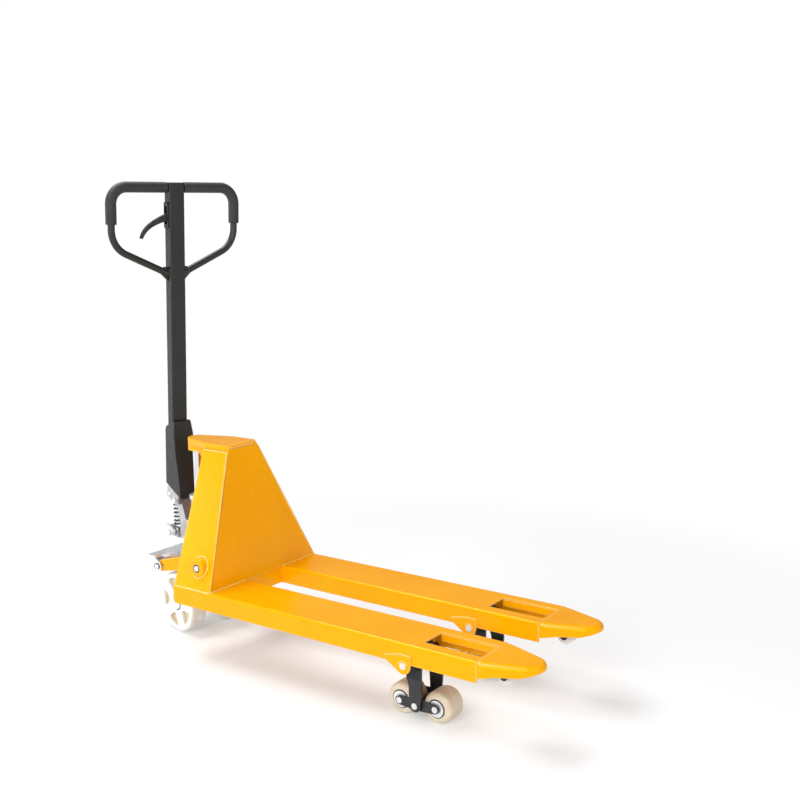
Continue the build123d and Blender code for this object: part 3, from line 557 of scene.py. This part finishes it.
def ring_of(mesh, centre, axis, inner, outer, low, high):
    """A rounded lip seal about an axis, between two radii and two distances along it."""
    first = axis.orthogonal().normalized()
    second = axis.cross(first)
    middle = (inner + outer) / 2
    round_off = 0.4
    profile = (
        (inner, low),
        (inner, high - round_off),
        (inner + round_off, high),
        (middle, high - 0.5),
        (outer - round_off, high),
        (outer, high - round_off),
        (outer, low),
    )
    count = 64
    rings = []
    for step in range(count):
        turn = 2 * math.pi * step / count
        arm = first * math.cos(turn) + second * math.sin(turn)
        points = [centre + (arm * radius + axis * reach) / 1000 for radius, reach in profile]
        rings.append([mesh.verts.new(point) for point in points])
    for step in range(count):
        near, far = rings[step], rings[(step + 1) % count]
        for index in range(len(profile)):
            following = (index + 1) % len(profile)
            mesh.faces.new((near[index], near[following], far[following], far[index]))


def seals():
    """Lip seals round the hubs of the load rollers and the steering wheels."""
    bore, rim = 21.2, 23.8
    for place, _ in PAIR:
        for end in ("front", "rear"):
            centre = middle_of(f"load_roller_{end}_{place}")
            mesh = bmesh.new()
            for flank in (-1, 1):
                ring_of(mesh, centre, Vector((0, flank, 0)), bore, rim, 28.3, 33.4)
            name = f"roller_seals_{end}_{place}"
            add_piece(name, piece_mesh(name, mesh), f"roller_{end}_{place}", SEAL)
        centre = middle_of(f"steering_wheel_{place}")
        mesh = bmesh.new()
        for flank in (-1, 1):
            ring_of(mesh, centre, AXLE * flank, bore, rim, 19.3, 25.2)
        name = f"wheel_seals_{place}"
        add_piece(name, piece_mesh(name, mesh), f"wheel_{place}", SEAL)


def pin_clips():
    """Spring clips in the grooves at the ends of the seat pins."""
    clips = bmesh.new()
    seat_pin = middle_of("seat_pins")
    wire = 0.0012
    for _, side in PAIR:
        centre = Vector((seat_pin.x, side * 0.1294, seat_pin.z))
        path = even_steps(circle(centre, Vector((1, 0, 0)), UP, 0.0092, -60, 240, 40), 0.0012)
        tube(clips, path, [wire] * len(path), sides=8)
    name = "seat_pin_clips"
    steel = FINISHES["spring_steel"]
    add_piece(name, piece_mesh(name, clips), "undercarriage", steel)


def plunger_coil():
    """The plunger's return spring, with closed ends."""
    low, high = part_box("plunger_spring")
    centre = (low + high) / 2
    wire = 0.0023
    coil_radius = 0.0156
    closed_rise = 2 * wire
    active_turns = 5
    active_rise = (high.z - low.z - 2 * wire - 2 * closed_rise) / active_turns
    steps = 32
    path = []
    height = low.z + wire
    for step in range(steps * (active_turns + 2) + 1):
        turn = 2 * math.pi * step / steps
        x = centre.x + coil_radius * math.cos(turn)
        y = centre.y + coil_radius * math.sin(turn)
        path.append(Vector((x, y, height)))
        at_end = step < steps or step >= steps * (active_turns + 1)
        height += (closed_rise if at_end else active_rise) / steps
    coil = bmesh.new()
    tube(coil, path, [wire] * len(path), sides=12)
    name = "plunger_coil"
    steel = FINISHES["spring_steel"]
    spring = add_piece(name, piece_mesh(name, coil), "pump", steel)
    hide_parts("plunger_spring")
    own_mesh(spring)


def handle_welds():
    """Oval beads where the lower ends of the loop meet the tube."""
    beads = bmesh.new()
    front = AHEAD * math.cos(LEAN_ANGLE) - UP * math.sin(LEAN_ANGLE)
    along = AHEAD * math.sin(LEAN_ANGLE) + UP * math.cos(LEAN_ANGLE)
    for side in (-1, 1):
        centre = handle(-33.6, side * 25.3, 685.5)
        oval = []
        for step in range(60):
            turn = math.radians(6 * step)
            reach = front * math.cos(turn) * 10.6 + along * math.sin(turn) * 12.2
            oval.append(centre + reach / 1000)
        weld(beads, oval, 0.0018, closed=True)
    name = "handle_welds"
    charcoal = FINISHES["charcoal_paint"]
    add_piece(name, piece_mesh(name, beads), "handle", charcoal)


frame_welds()
ear_welds()
seals()
pin_clips()
plunger_coil()
handle_welds()


# ---- studio ---------------------------------------------------------------
def studio_floor():
    half = 9.0
    mesh = bpy.data.meshes.new("floor")
    corners = [(-half, -half, 0), (half, -half, 0), (half, half, 0), (-half, half, 0)]
    mesh.from_pydata(corners, [], [(0, 1, 2, 3)])
    floor = bpy.data.objects.new("floor", mesh)
    bpy.context.scene.collection.objects.link(floor)
    dress(floor, floor_paint())


def softbox(name, place, aim, size, watts):
    light = bpy.data.lights.new(name, "AREA")
    light.shape = "RECTANGLE"
    light.size, light.size_y = size
    light.energy = watts
    holder = bpy.data.objects.new(name, light)
    holder.location = place
    holder.rotation_euler = (Vector(aim) - Vector(place)).to_track_quat("-Z", "Y").to_euler()
    bpy.context.scene.collection.objects.link(holder)


def studio_light():
    """A white surround with a soft fill, three softboxes and a strip on the left."""
    world = bpy.data.worlds.new("studio")
    world.use_nodes = True
    tree = world.node_tree
    fill = tree.nodes["Background"]
    fill.inputs["Color"].default_value = (1, 1, 1, 1)
    fill.inputs["Strength"].default_value = 0.25
    surround = tree.nodes.new("ShaderNodeBackground")
    surround.inputs["Color"].default_value = (1, 1, 1, 1)
    seen = tree.nodes.new("ShaderNodeMixShader")
    rays = tree.nodes.new("ShaderNodeLightPath")
    tree.links.new(rays.outputs["Is Camera Ray"], seen.inputs["Fac"])
    tree.links.new(fill.outputs["Background"], seen.inputs[1])
    tree.links.new(surround.outputs["Background"], seen.inputs[2])
    tree.links.new(seen.outputs["Shader"], tree.nodes["World Output"].inputs["Surface"])
    bpy.context.scene.world = world
    middle = (0, 0, 0.4)
    softbox("key_softbox", (0.9, -3.4, 1.9), middle, (2.4, 2.0), 102)
    softbox("top_softbox", (-1.3, -0.1, 2.9), (0.1, 0, 0.2), (2.2, 1.2), 80)
    softbox("front_softbox", (3.4, -0.6, 1.8), middle, (1.8, 1.8), 42)
    softbox("left_strip", (-3.0, -1.8, 0.6), (-0.55, 0, 0.7), (0.9, 2.0), 42)


def studio_camera():
    """The viewing angle: azimuth from -Y towards +X, elevation and roll, and the distance to the target."""
    azimuth = math.radians(35.48)
    elevation = math.radians(9.34)
    roll = math.radians(-0.73)
    distance = 2.960
    target = Vector((0.135, 0.084, 0.734))
    focal_share = 1116.0 / 800.0
    back = Vector(
        (
            math.sin(azimuth) * math.cos(elevation),
            -math.cos(azimuth) * math.cos(elevation),
            math.sin(elevation),
        )
    )
    right = (-back).cross(Vector((0, 0, 1))).normalized()
    up = right.cross(-back)
    rolled_right = right * math.cos(roll) + up * math.sin(roll)
    rolled_up = up * math.cos(roll) - right * math.sin(roll)
    data = bpy.data.cameras.new("camera")
    data.sensor_width = 36.0
    data.lens = data.sensor_width * focal_share
    camera = bpy.data.objects.new("camera", data)
    axes = Matrix((rolled_right, rolled_up, back)).transposed().to_4x4()
    camera.matrix_world = Matrix.Translation(target + back * distance) @ axes
    bpy.context.scene.collection.objects.link(camera)
    bpy.context.scene.camera = camera


studio_floor()
studio_light()
studio_camera()
bpy.context.scene.view_settings.view_transform = "Standard"
